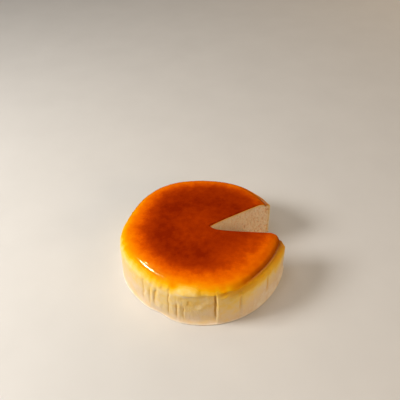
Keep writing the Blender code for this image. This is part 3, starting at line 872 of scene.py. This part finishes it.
# Egg-rich cheesecake skin, oven browned and brushed with a thin apricot glaze: glossy where it is
# brown, matt and pale where only the baking paper touched it
skinLook = {
    # the palest stop is reached at the foot, where it gives the painted highlight
    "ramp": ((0.00, "#FFF1DE"), (0.05, "#F3D9B6"), (0.085, "#F6D9A2"), (0.14, "#FAD36E"), (0.21, "#FBC43A"),
             (0.30, "#FBB60F"), (0.38, "#FDA004"), (0.45, "#FC8E02"), (0.52, "#F57A01"), (0.61, "#EA6601"),
             (0.70, "#D14E01"), (0.80, "#B63C02"), (0.90, "#A23002"), (1.00, "#8A2102")),
    "stretches": {"upright": (1, 0.30, 1), "sideways": (0.35, 1, 1)},
    # noise: size in mm, detail, roughness, and what it follows
    "noises": {
        "clouds": (7, 4, 0.6, "object"),  # darker baking
        "speckle": (1.6, 3, 0.6, "object"),  # grainy spots in the clouds
        "grain": (0.8, 3, 0.65, "object"),  # fine baked pores
        "waves": (3.6, 1, 0.5, "object"),  # slow unevenness that breaks up the highlights
        "fibres": (1.5, 3, 0.6, "upright"),  # paper grain on the wall, drawn out upwards
        "wrinkles": (1.8, 2, 0.6, "sideways"),  # and along the wall
    },
    # how much darker or paler they make it: a noise from 0.3 to 0.7 becomes so much browning
    "cloudPart": (0.3, 0.7, -0.028, 0.028),
    "specklePart": (0.3, 0.7, -0.014, 0.014),
    "smudgePart": (0.35, 0.65, -0.015, 0.03),
    "mottled": (0.3, 0.7),  # browning in which clouds and speckle set in
    # painted shade: the colours and shares that darken the creases and the groove
    "creaseColour": "#F0D25A",
    "creaseShadeTint": 0.70,
    "grooveShadeColour": "#84420A",
    "grooveShadeTint": 0.72,
    "roughness": (0.10, 0.42, 0.62, 0.05),
    "unglazedRoughness": 0.45,  # added on the lip outside the groove
    "grainHeight": (0.10, 0.40, 0.28, 0.008),
    "paperHeight": (0.12, 0.30, 0.34, 0),
    "wrinkleShare": 0.5,
    "waveHeight": 0.16,
    "bump": {"Strength": 0.8, "Distance": 1 * mm},
    "shader": {"IOR": 1.45, "Subsurface Weight": 0.06, "Subsurface Radius": (1, 0.45, 0.15),
               "Subsurface Scale": 1.2 * mm},
}


def skinMaterial():
    # browning with its painted shade and highlights, plus its mottling, gives one level, which sets the
    # colour, the gloss and the fine relief
    look = skinLook
    material, tree = newMaterial("glazedBakedSkin")
    rows = [("object", "TexCoord", {}, {}, {}, "Object"),
            ("around", "Attribute", {"attribute_name": "around"}, {}, {}, "Vector")]
    for name, scale in look["stretches"].items():
        rows.append((name, "Mapping", {}, {"Scale": scale}, {"Vector": "around"}))
    for name, (size, detail, rough, space) in look["noises"].items():
        values = {"Scale": 1 / (size * mm), "Detail": detail, "Roughness": rough}
        rows.append((name, "TexNoise", {}, values, {"Vector": space}))
    for name in ("browning", "crease", "groove", "unglazed"):
        rows.append((name, "Attribute", {"attribute_name": name}, {}, {}, "Fac"))
    for name, source in (("cloudPart", "clouds"), ("specklePart", "speckle"), ("smudgePart", "clouds")):
        rows.append((name, "MapRange", {}, rangeOf(look[name]), {0: source}))
    rows += [
        # clouds and speckle mottle the glazed top, and pale smudges lie over all of it
        ("mottled", "MapRange", easing, rangeOf(look["mottled"]), {0: "browning"}),
        ("both", "Math", adding, {}, {0: "cloudPart", 1: "specklePart"}),
        ("shaded", "Math", multiplyAdding, {}, {0: "both", 1: "mottled", 2: "browning"}),
        ("level", "Math", adding, {}, {0: "shaded", 1: "smudgePart"}),
        ("ramp", "ValToRGB", {}, {}, {0: "level"}),
        # painted shade: the creases are tinted golden and the groove is darkened brown, as the shade in them
        # looks
        ("creaseShare", "Math", multiplying, {1: look["creaseShadeTint"]}, {0: "crease"}),
        ("creased", "Mix", {**mixing, "blend_type": "MULTIPLY"}, {7: linearColour(look["creaseColour"])},
         {0: "creaseShare", 6: "ramp"}, 2),
        ("grooveShare", "Math", multiplying, {1: look["grooveShadeTint"]}, {0: "groove"}),
        ("colour", "Mix", mixing, {7: linearColour(look["grooveShadeColour"])},
         {0: "grooveShare", 6: "creased"}, 2),
        ("gloss", "MapRange", easing, rangeOf(look["roughness"]), {0: "level"}),
        ("roughness", "Math", {**multiplyAdding, "use_clamp": True}, {1: look["unglazedRoughness"]},
         {0: "unglazed", 2: "gloss"}),
        # paper grain on the wall, fine baked pores, and slow waves in the glaze
        ("paper", "Math", multiplyAdding, {1: look["wrinkleShare"]}, {0: "wrinkles", 2: "fibres"}),
        ("paperHeight", "MapRange", easing, rangeOf(look["paperHeight"]), {0: "level"}),
        ("paperRelief", "Math", multiplying, {}, {0: "paper", 1: "paperHeight"}),
        ("grainHeight", "MapRange", {}, rangeOf(look["grainHeight"]), {0: "level"}),
        ("grained", "Math", multiplyAdding, {}, {0: "grain", 1: "grainHeight", 2: "paperRelief"}),
        ("relief", "Math", multiplyAdding, {1: look["waveHeight"]}, {0: "waves", 2: "grained"}),
        ("bump", "Bump", {}, look["bump"], {"Height": "relief"}),
    ]
    made = addRows(tree, rows)
    setRamp(made["ramp"], look["ramp"])
    links = {"Base Color": made["colour"], "Roughness": made["roughness"], "Normal": made["bump"]}
    finishMaterial(tree, look["shader"], links)
    return material


# Steamed egg and cream cheese crumb, torn open by the cut: matt, pale on the grains, with painted shade in
# the clefts, and a denser yellow line just under the skin
crumbLook = {
    "ramp": ((0.00, "#FFF0DA"), (0.30, "#FDE0BF"), (0.60, "#EBBC8C"), (1.00, "#BC8048")),
    "crumbShadeShare": 0.78,  # how far the clefts' painted shade runs up the ramp
    "rindColour": "#F2C66A",
    "rindTint": 0.7,
    "pores": {"Scale": 1 / (0.7 * mm), "Detail": 4, "Roughness": 0.7},  # pores of 0.7 mm
    "porePart": (0.35, 0.7, -0.05, 0.38),
    "bump": {"Strength": 0.9, "Distance": 0.6 * mm},
    "shader": {"Roughness": 0.75, "IOR": 1.40, "Subsurface Weight": 0.08, "Subsurface Radius": (1, 0.6, 0.3),
               "Subsurface Scale": 1 * mm},
}


def crumbMaterial():
    # the clefts' painted shade plus the pores run through the ramp, and the rind is tinted over it
    look = crumbLook
    material, tree = newMaterial("airyCheesecakeCrumb")
    made = addRows(tree, (
        ("object", "TexCoord", {}, {}, {}, "Object"),
        ("gap", "Attribute", {"attribute_name": "gap"}, {}, {}, "Fac"),
        ("rind", "Attribute", {"attribute_name": "rind"}, {}, {}, "Fac"),
        ("pores", "TexNoise", {}, look["pores"], {"Vector": "object"}),
        ("porePart", "MapRange", {}, rangeOf(look["porePart"]), {0: "pores"}),
        ("level", "Math", multiplyAdding, {1: look["crumbShadeShare"]}, {0: "gap", 2: "porePart"}),
        ("ramp", "ValToRGB", {}, {}, {0: "level"}),
        ("rindShare", "Math", multiplying, {1: look["rindTint"]}, {0: "rind"}),
        ("colour", "Mix", mixing, {7: linearColour(look["rindColour"])}, {0: "rindShare", 6: "ramp"}, 2),
        ("bump", "Bump", {}, look["bump"], {"Height": "pores"}),
    ))
    setRamp(made["ramp"], look["ramp"])
    finishMaterial(tree, look["shader"], {"Base Color": made["colour"], "Normal": made["bump"]})
    return material


skin = skinPiece(skinMaterial())
crumb = crumbPiece(crumbMaterial())
for piece in (skin, crumb):
    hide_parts("cheesecake")
    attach(piece, "root")
print("cake is built")


# The studio: a pale floor, a soft key from the left, a broad light overhead, warm weak ones from the
# right-hand front and from behind, and a small lamp behind on the left that only the glaze mirrors
studio = {
    "floorForm": {"flat": 1600, "bend": 700, "top": 1600, "rings": 8, "bendRings": 8, "sectors": 64},
    "floorColours": ((0, "#D6D7DA"), (1, "#DFE0E3")),
    "floorGrain": {"Scale": 18, "Detail": 3},
    "floorRoughness": 0.7,
    # name, azimuth, elevation, metres away, width and height, watts, colour
    "lights": (
        ("key", 189, 34, 0.95, (0.34, 0.34), 8.6, "#FFF8EC"),
        ("top", 200, 80, 1.1, (0.7, 0.7), 3, "#FFF8EE"),
        ("fill", 318, 24, 1.2, (0.6, 0.4), 4, "#FFD9A6"),
        ("back", 50, 22, 1.2, (0.6, 0.4), 1.9, "#FFDDB0"),
        ("glint", 124, 57, 0.8, (0.11, 0.09), 4.8, "#FFE9B8"),
    ),
    "aimHeight": 0.02,  # metres; half the cake's height, which the lights face
    "sky": ("#FFF0DC", 0.08),
}


def makeFloor():
    # a round flat floor that sweeps up at its rim, with a matt plaster-like finish:
    # radius = flat + bend * sin(t), height = bend * (1 - cos(t)), then straight up
    material, tree = newMaterial("paleMattFloor")
    coords = addNode(tree, "TexCoord", output="Object")
    grain = addNode(tree, "TexNoise", inputs=studio["floorGrain"], links={"Vector": coords})
    ramp = addNode(tree, "ValToRGB", links={"Fac": grain})
    setRamp(ramp, studio["floorColours"])
    finishMaterial(tree, {"Roughness": studio["floorRoughness"]}, {"Base Color": ramp})
    form = studio["floorForm"]
    flat, bend = form["flat"], form["bend"]
    t = np.linspace(0, 0.5 * math.pi, form["bendRings"] + 1)[1:]
    radius = np.concatenate((np.linspace(0, flat, form["rings"]), flat + bend * np.sin(t), [flat + bend]))
    height = np.concatenate((np.zeros(form["rings"]), bend * (1 - np.cos(t)), [form["top"]]))
    turn = np.linspace(0, 2 * math.pi, form["sectors"] + 1)
    across, along = (np.outer(radius, wave(turn)) for wave in (np.cos, np.sin))
    points = np.stack((across, along, height[:, None] + 0 * turn), -1)
    floor = meshPiece("studioFloor", points.reshape(-1, 3), [gridFaces(*points.shape[:2])], {}, material)
    floor.visible_glossy = False


def addLight(name, azimuth, elevation, away, size, watts, colour):
    # an area light on a sphere round the cake, turned to its middle
    azimuth, elevation = math.radians(azimuth), math.radians(elevation)
    light = bpy.data.lights.new(name, "AREA")
    light.shape = "RECTANGLE"
    light.size, light.size_y = size
    light.energy = watts
    light.color = linearColour(colour)[:3]
    lamp = bpy.data.objects.new(name, light)
    out, up = away * math.cos(elevation), away * math.sin(elevation)
    lamp.location = (out * math.cos(azimuth), out * math.sin(azimuth), up + studio["aimHeight"])
    lamp.rotation_euler = (math.radians(90) - elevation, 0, azimuth + math.radians(90))
    # the glint is the only lamp that shows in the glaze, and it lights nothing
    lamp.visible_glossy, lamp.visible_diffuse = name == "glint", name != "glint"
    bpy.context.scene.collection.objects.link(lamp)


def makeSky():
    # a faint warm light from all sides, which the glaze doesn't mirror
    colour, strength = studio["sky"]
    world = bpy.data.worlds.new("studio")
    bpy.context.scene.world = world
    world.use_nodes = True
    background = world.node_tree.nodes["Background"]
    background.inputs["Color"].default_value = linearColour(colour)
    background.inputs["Strength"].default_value = strength
    world.cycles_visibility.glossy = False


# The photograph's camera, fitted to the cake's outline: place and focal length from its perspective
cameraSetup = {
    "place": (-1.06, -378.72, 386.63),
    "pitch": 39.53,
    "roll": -1.54,
    "focalPixels": 571.3,
    "imagePixels": 400,
    "sensor": 36,
    "clip": (0.01, 20),  # metres
}


def placeCamera():
    # looks along +Y, tipped down by the pitch, then rolled about its own axis: the columns of its matrix
    # are its right, its up, its back and its place
    camera = bpy.data.cameras.new("camera")
    camera.sensor_width = cameraSetup["sensor"]
    camera.lens = cameraSetup["focalPixels"] * cameraSetup["sensor"] / cameraSetup["imagePixels"]
    camera.clip_start, camera.clip_end = cameraSetup["clip"]
    holder = bpy.data.objects.new("camera", camera)
    bpy.context.scene.collection.objects.link(holder)
    pitch, roll = math.radians(cameraSetup["pitch"]), math.radians(cameraSetup["roll"])
    right = np.array((1, 0, 0))
    up = np.array((0, math.sin(pitch), math.cos(pitch)))
    back = np.array((0, -math.cos(pitch), math.sin(pitch)))
    turnedRight = math.cos(roll) * right + math.sin(roll) * up
    turnedUp = math.cos(roll) * up - math.sin(roll) * right
    columns = np.stack((turnedRight, turnedUp, back, np.array(cameraSetup["place"]) * mm), -1)
    holder.matrix_world = mathutils.Matrix(columns.tolist()).to_4x4()
    bpy.context.scene.camera = holder


makeFloor()
for about in studio["lights"]:
    addLight(*about)
makeSky()
bpy.context.scene.view_settings.view_transform = "Standard"
placeCamera()
print("studio is set")
